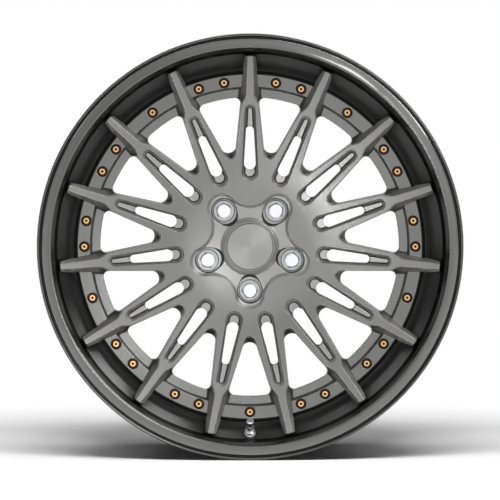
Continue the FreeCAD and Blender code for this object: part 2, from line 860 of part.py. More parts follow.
def cut_valve_seat(body):
    """Valve hole square to the lip's sloped wall, with a flat seat on both sides."""
    cuts = (
        ("valve_hole", D.valve_hole, Size(-20), Size(30)),
        ("valve_seat_front", D.valve_spot, ZERO, Size(6)),
        ("valve_seat_back", D.valve_spot, -D.valve_wall - 6, Size(6)),
    )
    for name, radius, start, length in cuts:
        cut = body.newObject("PartDesign::SubtractiveCylinder", name)
        place_on_valve(cut, 90 - valve_lean(), start)
        bind(cut, "Radius", radius)
        bind(cut, "Height", length)
        body.Tip = cut
        doc.recompute()


def valve_lean():
    """Angle of the valve's axis from the spin axis, toward the hub."""
    return 90 - valve_tilt


def place_on_valve(item, turn, start):
    """Put an item on the valve's axis at a distance in front of the seat."""
    base_y = valve_base_y - start * cosine(valve_lean())
    base_z = valve_base_z + start * sine(valve_lean())
    item.Placement = Placement(Vector(0, base_y.number, base_z.number), Rotation(Vector(1, 0, 0), turn.number))
    bind(item, "Placement.Base.y", base_y)
    bind(item, "Placement.Base.z", base_z)
    bind(item, "Placement.Rotation.Angle", turn)


def build_barrel():
    body = new_body("inner_barrel")
    rear = D.rim_half_width + D.flange_thickness
    well_in = D.well_radius - D.well_skin
    rise_end = D.well_end + D.barrel_rise
    hump_end = D.rim_half_width - D.bead_length - 6.5
    revolve(body, "barrel", [
        (D.seam_plane, D.rim_plate_bore),
        (D.seam_plane, D.seam_radius),
        (D.seam_plane + D.seam_chamfer, D.seam_radius + D.seam_chamfer),
        (D.barrel_face + 2, D.well_radius),
        (D.well_end, D.well_radius),
        (rise_end, D.barrel_radius),
        (hump_end - 3, D.barrel_radius + 2),
    ] + rim_flange(1, ZERO)[::-1] + [
        (rear - 0.8, D.flange_radius - 5),
        (rear - 6, D.bead_radius + 5),
        (rear - 8, D.bead_radius - 5.6),
        (rise_end, D.barrel_radius - D.well_skin),
        (D.well_end, well_in),
        (D.barrel_face + 5, well_in),
        (D.barrel_face, well_in - 5),
        (D.barrel_face, D.rim_plate_bore),
    ])
    round_edges(body, "well_round", D.well_round, [(D.well_end, D.well_radius), (rise_end, D.barrel_radius)])
    round_edges(body, "bead_heel_round_rear", D.heel_round, [(D.rim_half_width, D.bead_radius)])
    repeat(body, bolt_holes(body, "bolt_hole_barrel", D.seam_plane, D.bolt_hole, D.rim_plate), STUDS)
    return body


def build_sealant():
    body = new_body("seam_sealant")
    outer = D.seam_radius + D.seam_chamfer
    revolve(body, "sealant", [
        (D.seam_plane, D.seam_radius),
        (lip_seam_along, lip_seam_radius),
        (D.seam_plane, outer + 1.2),
        (D.seam_plane + D.seam_chamfer, outer),
    ])
    return body


# Fasteners

def hex_pad(body, name, across, start, length):
    sketch = new_sketch(body, name + "_sketch", "XZ_Plane", lift=-start)
    draw(sketch, hexagon(across))
    return extrude(body, name, sketch, length, kind="PartDesign::Pad", backward=True)


def trim_corners(body, name, across, top_radius, top):
    """Bevel the corners of a hexagon at its street end."""
    reach = across * 0.62
    revolve(body, name, [
        (top, top_radius),
        (top, reach + 2),
        (top + (reach + 2 - top_radius) * 0.6, reach + 2),
    ], kind="PartDesign::Groove")


def build_bolt():
    body = new_body("assembly_bolt")
    seat = D.ring_front + D.bolt_recess_depth
    collar = seat - D.bolt_flange_height
    top = collar - D.bolt_head_height
    end = D.barrel_face + D.bolt_end
    revolve(body, "bolt", [
        (end, ZERO),
        (end, D.bolt_radius - 0.6),
        (end - 0.6, D.bolt_radius),
        (seat, D.bolt_radius),
        (seat, D.bolt_flange_radius),
        (collar + 0.4, D.bolt_flange_radius),
        (collar, D.bolt_flange_radius - 0.6),
        (collar, D.bolt_head_radius),
        (top + 0.8, D.bolt_head_radius),
        (top, D.bolt_head_radius - 0.8),
        (top, ZERO),
    ])
    sketch = new_sketch(body, "bolt_socket_sketch", "XZ_Plane", lift=-top)
    draw(sketch, hexagon(D.bolt_socket))
    extrude(body, "bolt_drive", sketch, D.bolt_socket_depth)
    return body


def build_back_nut():
    body = new_body("assembly_nut")
    shoulder = D.barrel_face + 1.6
    end = D.barrel_face + D.back_nut_height
    revolve(body, "nut_flange", [
        (D.barrel_face, D.bolt_radius),
        (D.barrel_face, D.back_nut_flange),
        (shoulder - 0.6, D.back_nut_flange),
        (shoulder, D.back_nut_flange - 0.8),
        (shoulder, D.bolt_radius),
    ])
    sketch = new_sketch(body, "nut_hex_sketch", "XZ_Plane", lift=-shoulder)
    draw(sketch, hexagon(D.back_nut_flats))
    draw_circle(sketch, ZERO, ZERO, D.bolt_radius)
    extrude(body, "nut_hex", sketch, end - shoulder, kind="PartDesign::Pad", backward=True)
    return body


def build_wheel_nut():
    body = new_body("wheel_nut")
    gap = 0.4
    foot = D.nut_seat_plane - gap
    shoulder = foot - D.nut_flange_height
    top = shoulder - D.nut_height
    grip = cosine(D.nut_seat_angle) / sine(D.nut_seat_angle)
    tip_radius = D.stud_hole + 0.4
    hex_pad(body, "nut_hex_body", D.nut_across_flats, top, D.nut_height)
    trim_corners(body, "nut_crown", D.nut_across_flats, D.nut_crown_radius, top)
    revolve(body, "nut_seat", [
        (shoulder, ZERO),
        (shoulder, D.nut_flange_radius - 0.8),
        (shoulder + 0.8, D.nut_flange_radius),
        (foot, D.nut_flange_radius),
        (foot, D.nut_seat_radius + gap / grip),
        (D.nut_seat_plane + (D.nut_seat_radius - tip_radius) * grip, tip_radius),
        (D.nut_seat_plane + (D.nut_seat_radius - tip_radius) * grip, ZERO),
    ])
    revolve(body, "nut_thread", [
        (D.pad_plane, ZERO),
        (D.pad_plane, D.nut_thread_radius),
        (top + 6, D.nut_thread_radius),
        (top + 3.5, ZERO),
    ], kind="PartDesign::Groove")
    return body


def ring_of(name, body, distance, angles):
    """Group of identical fasteners, each turned about the spin axis."""
    bind(body, "Placement.Base.z", -distance)
    copies = []
    for number, angle in enumerate(angles, 1):
        copy = doc.addObject("App::Link", "%s_%02d" % (name, number))
        copy.LinkedObject = body
        copy.LinkTransform = True
        copy.Placement = Placement(Vector(), Rotation(Vector(0, -1, 0), angle.number))
        bind(copy, "Placement.Rotation.Angle", angle)
        copies.append(copy)
    group = doc.addObject("Part::Compound", name)
    group.Links = copies
    doc.recompute()
    return group


# Centre cap

def build_cap():
    body = new_body("centre_cap")
    seat = D.hub_front + D.star_depth
    flange = seat - D.cap_flange_height
    skirt_end = seat + D.cap_skirt_depth
    skirt_in = D.cap_skirt_radius - D.cap_skirt_wall
    clip = seat + D.cap_relief_depth
    revolve(body, "cap", [
        (D.cap_front, ZERO),
        (D.cap_front, D.cap_radius - 0.9),
        (D.cap_front + 0.9, D.cap_radius),
        (flange, D.cap_radius),
        (flange, D.cap_flange_radius),
        (seat, D.cap_flange_radius),
        (seat, D.cap_skirt_radius),
        (clip, D.cap_skirt_radius),
        (clip + 0.6, D.cap_clip_radius),
        (skirt_end - 1.6, D.cap_clip_radius),
        (skirt_end, D.cap_skirt_radius - 0.6),
        (skirt_end, skirt_in),
        (seat - 1, skirt_in),
        (seat - 2, ZERO),
    ])
    sketch = new_sketch(body, "cap_slit_sketch", "XZ_Plane", lift=-seat - 3)
    half = D.cap_slit / 2
    draw(sketch, [
        (-half, skirt_in - 4),
        (half, skirt_in - 4),
        (half, D.cap_clip_radius + 3),
        (-half, D.cap_clip_radius + 3),
    ])
    repeat(body, extrude(body, "cap_slit", sketch, D.cap_skirt_depth), 8)
    return body


def build_cap_ring():
    body = new_body("cap_spring_ring")
    middle = D.hub_front + D.star_depth + D.cap_relief_depth + 1
    sketch = new_sketch(body, "wire_profile", "YZ_Plane")
    draw_circle(sketch, middle, D.cap_skirt_radius - D.cap_skirt_wall - D.cap_wire, D.cap_wire)
    ring = body.newObject("PartDesign::Revolution", "wire")
    ring.Profile = sketch
    ring.ReferenceAxis = (sketch, ["H_Axis"])
    ring.Angle = 345.0
    body.Tip = ring
    doc.recompute()
    return body


# Tyre valve: every piece is turned about its own axis, with -Y away from the seat

def valve_piece(name, vertices):
    body = new_body(name)
    revolve(body, name + "_turning", vertices)
    place_on_valve(body, -valve_lean(), ZERO)
    doc.recompute()
    return body


def build_valve():
    head = D.valve_wall + D.valve_seal
    head_end = head + D.valve_head_height
    top = -D.valve_stem_length
    neck = -D.valve_neck_start
    stem = valve_piece("valve_stem", [
        (head_end, D.valve_air_bore),
        (head_end, D.valve_head_radius - 1),
        (head_end - 1, D.valve_head_radius),
        (head, D.valve_head_radius),
        (head, D.valve_stem_radius),
        (neck, D.valve_stem_radius),
        (neck - 0.6, D.valve_neck_radius),
        (top + 0.5, D.valve_neck_radius),
        (top, D.valve_neck_radius - 0.5),
        (top, D.valve_air_bore),
    ])
    grommet = valve_piece("valve_grommet", [
        (head, D.valve_stem_radius),
        (head, D.valve_head_radius),
        (D.valve_wall, D.valve_head_radius),
        (D.valve_wall, D.valve_hole - 0.1),
        (Size(0.6), D.valve_hole - 0.1),
        (Size(0.6), D.valve_stem_radius),
    ])
    washer = valve_piece("valve_washer", [
        (ZERO, D.valve_stem_radius + 0.15),
        (ZERO, D.valve_washer_radius),
        (-D.valve_washer_height, D.valve_washer_radius),
        (-D.valve_washer_height, D.valve_stem_radius + 0.15),
    ])
    nut = new_body("valve_nut")
    nut_top = -D.valve_washer_height - D.valve_nut_height
    sketch = new_sketch(nut, "valve_nut_sketch", "XZ_Plane", lift=-nut_top)
    draw(sketch, hexagon(D.valve_nut_flats))
    draw_circle(sketch, ZERO, ZERO, D.valve_stem_radius)
    extrude(nut, "valve_nut_hex", sketch, D.valve_nut_height, kind="PartDesign::Pad", backward=True)
    trim_corners(nut, "valve_nut_bevel", D.valve_nut_flats, D.valve_nut_flats / 2 - 0.4, nut_top)
    place_on_valve(nut, -valve_lean(), ZERO)
    core = valve_piece("valve_core", [
        (Size(-6), ZERO),
        (Size(-6), D.valve_air_bore - 0.5),
        (Size(-9), D.valve_air_bore - 0.3),
        (Size(-12), D.valve_air_bore),
        (top + 1.5, D.valve_air_bore),
        (top + 1.5, Size(0.5)),
        (top + 0.3, Size(0.5)),
        (top + 0.3, ZERO),
    ])
    inside = -D.valve_cap_end + D.valve_cap_floor
    cap = valve_piece("valve_cap", [
        (-D.valve_cap_start, D.valve_neck_radius),
        (-D.valve_cap_start, D.valve_cap_radius - 0.4),
        (-D.valve_cap_start - 0.4, D.valve_cap_radius),
        (-D.valve_cap_end + 1.2, D.valve_cap_radius),
        (-D.valve_cap_end, D.valve_cap_radius - 1.2),
        (-D.valve_cap_end, ZERO),
        (inside, ZERO),
        (inside, D.valve_neck_radius),
    ])
    sketch = new_sketch(cap, "flute_sketch", "XZ_Plane", lift=D.valve_cap_end + 1)
    draw_circle(sketch, ZERO, D.valve_cap_radius + 0.35, Size(0.7))
    repeat(cap, extrude(cap, "flute", sketch, D.valve_cap_end - D.valve_cap_start - 2), 12)
    return [stem, grommet, washer, nut, core, cap]


def bolt_angles():
    return [D.bolt_pitch * step + 360.0 / STUDS * turn for turn in range(STUDS) for step in BOLT_STEPS]


def build():
    stud_angles = [Size(360.0 / STUDS * turn) for turn in range(STUDS)]
    return [
        build_centre(),
        build_lip(),
        build_barrel(),
        build_sealant(),
        ring_of("assembly_bolts", build_bolt(), D.bolt_circle, bolt_angles()),
        ring_of("assembly_nuts", build_back_nut(), D.bolt_circle, bolt_angles()),
        ring_of("wheel_nuts", build_wheel_nut(), D.stud_circle, stud_angles),
        build_cap(),
        build_cap_ring(),
    ] + build_valve()


def check(finished):
    """Stop if any object failed, any shape is empty or any finished piece is invalid."""
    for item in doc.Objects:
        if {"Invalid", "Error"} & set(item.State):
            raise RuntimeError("%s failed: %s" % (item.Name, item.State))
        if hasattr(item, "Shape") and item.Shape.isNull():
            raise RuntimeError("%s has no shape" % item.Name)
    for piece in finished:
        if not piece.Shape.isValid():
            raise RuntimeError("%s has a bad shape" % piece.Name)


pieces = build()
doc.recompute()
check(pieces)
os.makedirs("parts", exist_ok=True)
for piece in pieces:
    piece.Label = piece.Name
    piece.Shape.exportStep("parts/%s.step" % piece.Label)
    print(piece.Label, len(piece.Shape.Solids), round(piece.Shape.Volume), piece.Shape.BoundBox)
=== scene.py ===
import bpy
import json
import math
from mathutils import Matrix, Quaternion, Vector


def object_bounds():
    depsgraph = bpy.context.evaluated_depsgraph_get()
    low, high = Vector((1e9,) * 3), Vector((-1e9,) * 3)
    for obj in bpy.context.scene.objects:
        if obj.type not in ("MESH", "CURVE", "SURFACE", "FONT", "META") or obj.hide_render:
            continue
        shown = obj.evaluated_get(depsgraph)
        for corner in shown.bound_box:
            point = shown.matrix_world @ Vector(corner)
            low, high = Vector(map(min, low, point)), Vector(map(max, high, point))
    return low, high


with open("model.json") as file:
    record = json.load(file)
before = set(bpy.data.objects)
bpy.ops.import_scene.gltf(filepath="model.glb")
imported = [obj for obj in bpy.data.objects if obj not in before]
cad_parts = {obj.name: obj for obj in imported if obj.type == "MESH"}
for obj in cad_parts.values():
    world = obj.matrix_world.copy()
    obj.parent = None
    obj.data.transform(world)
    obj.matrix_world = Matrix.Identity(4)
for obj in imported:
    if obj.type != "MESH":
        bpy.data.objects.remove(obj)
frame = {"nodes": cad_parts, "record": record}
cad_low, cad_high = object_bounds()
NODES = frame["nodes"]
SCENE = bpy.context.scene
SCENE.view_settings.view_transform = "Standard"

# The wheel stands on the floor, its spin axis along Y and its street side toward -Y.
# Lengths are in metres, lamp power in watts and angles in degrees.
SPIN_AXIS = (0.0, 1.0, 0.0)


# Node helpers

class Graph:
    """A node tree with shortcuts for building it."""

    def __init__(self, tree):
        self.tree = tree

    def add(self, kind, settings=None, **inputs):
        """Add a node. An underscore in an input's name stands for a space."""
        node = self.tree.nodes.new(kind)
        for name, value in (settings or {}).items():
            setattr(node, name, value)
        for name, value in inputs.items():
            self.feed(node.inputs[name.replace("_", " ")], value)
        return node

    def feed(self, socket, value):
        """Link a socket to another node's output, or set it to a plain value."""
        if isinstance(value, bpy.types.NodeSocket):
            self.tree.links.new(value, socket)
        else:
            socket.default_value = value

    def feed_all(self, sockets, values):
        for socket, value in zip(sockets, values):
            self.feed(socket, value)

    def math(self, operation, *operands):
        node = self.add("ShaderNodeMath", {"operation": operation})
        self.feed_all(node.inputs, operands)
        return node.outputs[0]

    def times(self, first, *others):
        for other in others:
            first = self.math("MULTIPLY", first, other)
        return first

    def inverse(self, value):
        return self.math("SUBTRACT", 1.0, value)

    def vector(self, operation, *operands, **inputs):
        node = self.add("ShaderNodeVectorMath", {"operation": operation}, **inputs)
        self.feed_all(node.inputs, operands)
        return node.outputs["Vector"]

    def measure(self, operation, *operands):
        """A number from vectors: a length or a dot product."""
        node = self.add("ShaderNodeVectorMath", {"operation": operation})
        self.feed_all(node.inputs, operands)
        return node.outputs["Value"]

    def scale(self, low, high, value):
        """Spread a 0 to 1 value over a range."""
        node = self.add("ShaderNodeMapRange", Value=value, To_Min=low, To_Max=high)
        return node.outputs["Result"]

    def step(self, value, start, end, lowest=0.0):
        """The lowest value up to the start, 1 from the end on, smooth between."""
        node = self.add("ShaderNodeMapRange", {"interpolation_type": "SMOOTHSTEP"},
                        Value=value, From_Min=start, From_Max=end, To_Min=lowest)
        return node.outputs["Result"]

    def mix(self, factor, first, second):
        """Blend two numbers."""
        node = self.add("ShaderNodeMix", {"data_type": "FLOAT"})
        self.feed_all((node.inputs[0], node.inputs[2], node.inputs[3]), (factor, first, second))
        return node.outputs[0]

    def blend(self, factor, first, second):
        """Blend two colours."""
        node = self.add("ShaderNodeMix", {"data_type": "RGBA"})
        self.feed_all((node.inputs[0], node.inputs[6], node.inputs[7]), (factor, first, second))
        return node.outputs[2]

    def mix_shader(self, factor, first, second):
        node = self.add("ShaderNodeMixShader")
        self.feed_all(node.inputs, (factor, first, second))
        return node.outputs[0]

    def shown_rays(self):
        """1 for rays from the camera, from a reflection or through a clear surface."""
        path = self.add("ShaderNodeLightPath").outputs
        shown = self.math("MAXIMUM", path["Is Camera Ray"], path["Is Glossy Ray"])
        return self.math("MAXIMUM", shown, path["Is Transmission Ray"])


class Shader(Graph):
    """A Principled material that knows its place on the wheel."""

    def __init__(self, name, **sockets):
        self.material = bpy.data.materials.new(name)
        self.material.use_nodes = True
        super().__init__(self.material.node_tree)
        self.bsdf = self.tree.nodes["Principled BSDF"]
        self.surface(**sockets)
        self.place = self.add("ShaderNodeTexCoord").outputs["Object"]

    def surface(self, **sockets):
        """Set or link sockets of the Principled shader."""
        for name, value in sockets.items():
            self.feed(self.bsdf.inputs[name.replace("_", " ")], value)

    def axes(self):
        parts = self.add("ShaderNodeSeparateXYZ", Vector=self.place).outputs
        return parts["X"], parts["Y"], parts["Z"]

    def split(self):
        """Radius about the spin axis and distance along it."""
        x, along, z = self.axes()
        flat = self.add("ShaderNodeCombineXYZ", X=x, Y=z).outputs[0]
        return self.measure("LENGTH", flat), along

    def polar(self, around, outward, through):
        """Noise coordinates without a seam, scaled round the spin axis, off it and along it."""
        x, _, z = self.axes()
        flat = self.add("ShaderNodeCombineXYZ", X=x, Y=z).outputs[0]
        spread = self.vector("SCALE", self.vector("NORMALIZE", flat), Scale=around)
        radius, along = self.split()
        height = self.math("ADD", self.times(radius, outward), self.times(along, through))
        lift = self.add("ShaderNodeCombineXYZ", Z=height).outputs[0]
        return self.vector("ADD", spread, lift)

    def noise(self, vector, size, detail=3.0, rough=0.55):
        node = self.add("ShaderNodeTexNoise", Vector=vector, Scale=size, Detail=detail,
                        Roughness=rough)
        return node.outputs["Fac"]

    def brush_lines(self):
        """Fine streaks that run round the spin axis."""
        return self.noise(self.polar(*BRUSH), 1.0, detail=4.0, rough=0.6)

    def stops(self, value, marks):
        """Tone that follows a value through a list of marks (value, tone)."""
        low, high = marks[0][0], marks[-1][0]
        along = self.math("DIVIDE", self.math("SUBTRACT", value, low), high - low)
        node = self.add("ShaderNodeValToRGB", Fac=along)
        points = node.color_ramp.elements
        while len(points) < len(marks):
            points.new(0.5)
        for point, (mark, shade) in zip(points, marks):
            point.position = (mark - low) / (high - low)
            point.color = tone(shade)
        return node.outputs["Color"]

    def soft_normal(self, radius):
        """Normal with the edges rounded off."""
        return self.add("ShaderNodeBevel", {"samples": 6}, Radius=radius).outputs[0]

    def lean(self, normal, amount):
        """Tip a normal away from the spin axis, or toward it where the amount is negative."""
        x, _, z = self.axes()
        flat = self.add("ShaderNodeCombineXYZ", X=x, Z=z).outputs[0]
        push = self.vector("SCALE", self.vector("NORMALIZE", flat), Scale=amount)
        return self.vector("NORMALIZE", self.vector("ADD", normal, push))

    def backward(self, normal):
        """1 where the surface faces the back of the wheel and -1 where it faces the front."""
        return self.measure("DOT_PRODUCT", normal, SPIN_AXIS)

    def facing(self, normal):
        """1 where the surface faces along the spin axis and 0 where it is parallel to it."""
        return self.math("ABSOLUTE", self.backward(normal))

    def paint(self, shade, tint):
        self.surface(Base_Color=self.vector("SCALE", tint, Scale=shade))

    def brush_round(self, amount):
        """Highlights spread across grooves that run round the spin axis."""
        tangent = self.add("ShaderNodeTangent", {"direction_type": "RADIAL", "axis": "Y"})
        self.surface(Tangent=tangent.outputs[0], Anisotropic=amount, Anisotropic_Rotation=0.25)

    def bump(self, height, strength, normal=None):
        node = self.add("ShaderNodeBump", Height=height, Strength=strength, Distance=RELIEF)
        if normal:
            self.feed(node.inputs["Normal"], normal)
        self.surface(Normal=node.outputs[0])


def tone(value):
    """A neutral grey."""
    return (value, value, value, 1.0)


def blank_graph(owner):
    """The emptied node tree of a material or a world."""
    owner.use_nodes = True
    owner.node_tree.nodes.clear()
    return Graph(owner.node_tree)


# Finishes: a pair is a band over which one finish passes into the next, or a range of values

BRUSH = (10.0, 1400.0, 1400.0)
RELIEF = 0.0003
GREY = (1.0, 1.0, 0.965)
LIP_GREY = (0.995, 1.0, 0.985)
CHROME_WHITE = (0.98, 1.0, 1.02)

# How far a surface faces along the spin axis, or backward along it
FLAT = (0.55, 0.95)
BOLT_FLAT = (0.70, 0.985)
NUT_FLAT = (0.72, 0.98)
BACK = (0.08, 0.25)

# The centre's face: level over the hub, and falling away along the spokes
HUB_FRONT = -0.088
HUB_EDGE = 0.084
SPOKE_SLOPE = 0.1175
CREASE_BLUR = 0.0015

# Radii on the centre
SPOKES_START = (0.055, 0.105)
FACE_EASES = (0.055, 0.115)
SLOTS_END = (0.185, 0.187)
NECK = (0.187, 0.205)
RING_START = (0.2068, 0.2078)
TIP_START = (0.218, 0.230)
WELLS_END = (0.2225, 0.2230)
RING_END = (0.2225, 0.2231)

# Places along the spin axis
RING_LEVEL = (-0.0850, -0.0840)
RING_EDGE_LEVEL = (-0.0850, -0.0844)
SPOKE_FOOT = (-0.0840, -0.0830)
WELL_LEVEL = (-0.0817, -0.0812)
BOLT_FLANGE = (-0.0816, -0.0811)
NUT_FOOT = (-0.079, -0.066)

# Depths below the centre's face
EDGE_DEPTH = (0.0004, 0.0009)
FLOOR_DEPTH = (0.003, 0.005)
WINDOW_DEPTH = (0.0055, 0.007)

# The centre's tones: hub, spoke, slot_floor and ring are the metal's own tones; the others are
# painted light and shade on its walls, in the bolt wells and on the ring's outer edge.
CENTRE_TONES_LIGHT_AND_SHADE = {
    "hub": 0.236, "spoke": 0.206, "slot_floor": 0.32, "ring": 0.185,
    "edge": 0.08, "slot_wall": 0.46, "window_wall_shade": 0.05,
    "spoke_side_light": 0.50, "spoke_foot_shade": 0.20, "tip_side_light": 0.95, "back": 0.80,
    "well_shade": 0.012, "ring_gap_shade": 0.03,
}
FACE_ROUGH = (0.19, 0.26)
FLANK_ROUGH = 0.55


def brushed_centre():
    """Forged centre: brushed round the axis, paler recess floors; its walls, bolt wells and the
    ring's outer edge carry painted light and shade.
    """
    shader = Shader("brushed_centre", Metallic=1.0, Specular_Tint=tone(0.5),
                    Coat_Weight=0.25, Coat_Roughness=0.06)
    step, mix, tones = shader.step, shader.mix, CENTRE_TONES_LIGHT_AND_SHADE
    radius, along = shader.split()
    lines = shader.brush_lines()
    cloud = shader.noise(shader.place, 22.0)
    soft = shader.soft_normal(0.0018)
    flat = step(shader.facing(soft), *FLAT)

    past_hub = shader.math("MAXIMUM", shader.math("SUBTRACT", radius, HUB_EDGE), 0.0)
    level = shader.math("SUBTRACT", along, HUB_FRONT)
    depth = shader.math("ADD", level, shader.times(past_hub, SPOKE_SLOPE))
    inside = shader.inverse(step(radius, *SLOTS_END))
    slot_floor = shader.times(step(depth, *FLOOR_DEPTH), inside)
    ring = shader.times(step(radius, *RING_START), step(along, *RING_LEVEL))
    within = shader.inverse(step(radius, *WELLS_END))
    # Painted shade: the wells round the gilt bolts are darkened to near black.
    well_shade = shader.times(ring, step(along, *WELL_LEVEL), within)
    # Painted shade: a dark band on the ring's outer edge stands in for the shadow in the gap to
    # the lip.
    ring_gap_shade = shader.times(step(radius, *RING_END), step(along, *RING_EDGE_LEVEL))

    face = mix(step(radius, *SPOKES_START), tones["hub"], tones["spoke"])
    face = mix(slot_floor, face, tones["slot_floor"])
    face = mix(ring, face, tones["ring"])
    # Painted light and shade on the walls: a dark line just under the face's edges, paler slot
    # walls, near-black deep window walls, pale spoke walls with darker feet, pale tips, and pale
    # back faces that would otherwise mirror the dark barrel.
    flank_light_and_shade = mix(step(depth, *EDGE_DEPTH), tones["edge"], tones["slot_wall"])
    flank_light_and_shade = mix(step(depth, *WINDOW_DEPTH), flank_light_and_shade, tones["window_wall_shade"])
    spoke_wall_light_and_shade = mix(step(along, *SPOKE_FOOT), tones["spoke_side_light"], tones["spoke_foot_shade"])
    flank_light_and_shade = mix(step(radius, *NECK), flank_light_and_shade, spoke_wall_light_and_shade)
    flank_light_and_shade = mix(step(radius, *TIP_START), flank_light_and_shade, tones["tip_side_light"])
    flank_light_and_shade = mix(step(shader.backward(soft), *BACK), flank_light_and_shade, tones["back"])
    shade = mix(flat, flank_light_and_shade, face)
    shade = mix(well_shade, shade, tones["well_shade"])
    shade = mix(ring_gap_shade, shade, tones["ring_gap_shade"])
    grain = shader.math("ADD", shader.scale(0.90, 1.07, lines), shader.scale(-0.04, 0.08, cloud))
    shader.paint(shader.times(shade, grain), GREY)
    shader.surface(Roughness=mix(flat, FLANK_ROUGH, shader.scale(*FACE_ROUGH, lines)))
    shader.brush_round(0.25)

    # The photo shows no line at the hub's edge, so reflections ease across the crease there
    sharp = step(radius, HUB_EDGE - CREASE_BLUR, HUB_EDGE + CREASE_BLUR)
    crease = shader.math("SUBTRACT", sharp, step(radius, *FACE_EASES))
    smooth = shader.lean(soft, shader.times(crease, SPOKE_SLOPE, flat))
    shader.bump(lines, 0.06, smooth)
    shader.surface(Coat_Normal=smooth)
    return shader.material


CAP_RIM_SHADE = 0.12
CAP_TONE = (0.28, 0.34)
CAP_ROUGH = (0.32, 0.42)


def cap_face():
    """Bare centre cap: brushed round the axis, its sloped rim painted dark as shade."""
    shader = Shader("cap_face", Metallic=1.0, Coat_Weight=0.3, Coat_Roughness=0.12)
    lines = shader.brush_lines()
    soft = shader.soft_normal(0.0008)
    flat = shader.step(shader.facing(soft), *FLAT)
    # Sloped rim faces get a dark painted shade; flat faces keep the brushed tone.
    shader.paint(shader.mix(flat, CAP_RIM_SHADE, shader.scale(*CAP_TONE, lines)), GREY)
    shader.surface(Roughness=shader.scale(*CAP_ROUGH, lines))
    shader.brush_round(0.5)
    shader.bump(lines, 0.10, soft)
    return shader.material


# Tone and roughness of the lip by radius: foot, wall, step, crown, groove, rolled edge. The
# near-black foot and the black groove are painted shade and the paler band low on the wall is
# painted light; the dark wall and step are the lip's own finish.
LIP_TONES_LIGHT_AND_SHADE = (
    (0.2285, 0.004), (0.2298, 0.450), (0.2325, 0.300), (0.2345, 0.110),
    (0.2390, 0.062), (0.2535, 0.055), (0.2546, 0.050),
    (0.2556, 0.152), (0.2674, 0.212),
    (0.2680, 0.032), (0.2696, 0.032),
    (0.2702, 0.120), (0.2740, 0.110),
)
LIP_ROUGH = ((0.2285, 0.45), (0.2390, 0.38), (0.2535, 0.30), (0.2550, 0.11), (0.2740, 0.14))


def dark_lip():
    """Outer lip: dark wall, grey crown brushed round the axis, groove and foot painted black as
    shade, rolled edge.
    """
    shader = Shader("dark_lip", Metallic=1.0, Coat_Weight=0.1, Coat_Roughness=0.08)
    radius, _ = shader.split()
    lines = shader.brush_lines()
    cloud = shader.noise(shader.place, 9.0, detail=2.0)
    grain = shader.math("ADD", shader.scale(0.88, 1.06, lines), shader.scale(-0.05, 0.10, cloud))
    # The tones by radius include painted shade at the foot and in the groove, and painted light
    # low on the wall.
    shader.paint(shader.times(shader.stops(radius, LIP_TONES_LIGHT_AND_SHADE), grain), LIP_GREY)
    shader.surface(Roughness=shader.stops(radius, LIP_ROUGH))
    shader.bump(lines, 0.03, shader.soft_normal(0.0012))
    return shader.material


BOLT_CROWN = (0.75, 0.55, 0.32, 1.0)
BOLT_CROWN_SHADED_SIDE = (0.28, 0.11, 0.03, 1.0)
BOLT_FLANGE_SHADE = (0.080, 0.030, 0.010, 1.0)
BOLT_FLANGE_SHADE_RIM = (0.22, 0.09, 0.02, 1.0)
BOLT_ROUGH = (0.18, 0.32)


def gold_bolt():
    """Gilt bolt heads: bright crown with its sloped sides in painted shade; flange and socket
    painted dark as shade, with orange rims.
    """
    shader = Shader("gold_bolt", Metallic=1.0)
    _, along = shader.split()
    fine = shader.noise(shader.place, 1500.0)
    flat = shader.step(shader.facing(shader.soft_normal(0.0009)), *BOLT_FLAT)
    # Painted shade: the flange and socket below the crown are dark, their sloped rims orange,
    # and the crown's sloped sides darker than its top.
    low = shader.blend(flat, BOLT_FLANGE_SHADE_RIM, BOLT_FLANGE_SHADE)
    high = shader.blend(flat, BOLT_CROWN_SHADED_SIDE, BOLT_CROWN)
    shader.surface(Base_Color=shader.blend(shader.step(along, *BOLT_FLANGE), high, low),
                   Roughness=shader.scale(*BOLT_ROUGH, fine))
    shader.bump(fine, 0.08)
    return shader.material


NUT_TONES_AND_SHADE = {"top": 0.95, "foot": 0.50, "side": 0.10, "valve_cap": 0.85, "speck": 0.45}
NUT_ROUGH = (0.05, 0.12)
PAST_HUB = (0.10, 0.11)
SPECKS = (0.66, 0.74)


def bright_chrome():
    """Chrome nuts and valve cap: white tops; sloped flats, chamfers and the lower part of each
    nut painted darker as shade; faint specks.
    """
    shader = Shader("bright_chrome", Metallic=1.0)
    step, mix, tones = shader.step, shader.mix, NUT_TONES_AND_SHADE
    radius, along = shader.split()
    flat = step(shader.facing(shader.soft_normal(0.0006)), *NUT_FLAT)
    # Painted shade: sloped flats and chamfers and the lower part of each nut get darker tones
    # than the white tops.
    top = mix(step(along, *NUT_FOOT), tones["top"], tones["foot"])
    shade = mix(flat, tones["side"], top)
    shade = mix(step(radius, *PAST_HUB), shade, tones["valve_cap"])
    speck = step(shader.noise(shader.place, 420.0, detail=2.0), *SPECKS)
    shader.paint(mix(speck, shade, tones["speck"]), CHROME_WHITE)
    shader.surface(Roughness=shader.scale(*NUT_ROUGH, shader.noise(shader.place, 900.0)))
    return shader.material


def coated(name, dark, light, rough, grain, relief, metallic=1.0, **sockets):
    """Sprayed, moulded or plated skin: fine grain and cloudy tone."""
    shader = Shader(name, Metallic=metallic, **sockets)
    fine = shader.noise(shader.place, grain)
    cloud = shader.noise(shader.place, 30.0, detail=2.0)
    mixed = shader.math("ADD", shader.scale(0.0, 0.5, fine), shader.scale(0.0, 0.5, cloud))
    shader.surface(Base_Color=shader.blend(mixed, dark, light),
                   Roughness=shader.scale(*rough, mixed))
    shader.bump(fine, relief)
    return shader.material


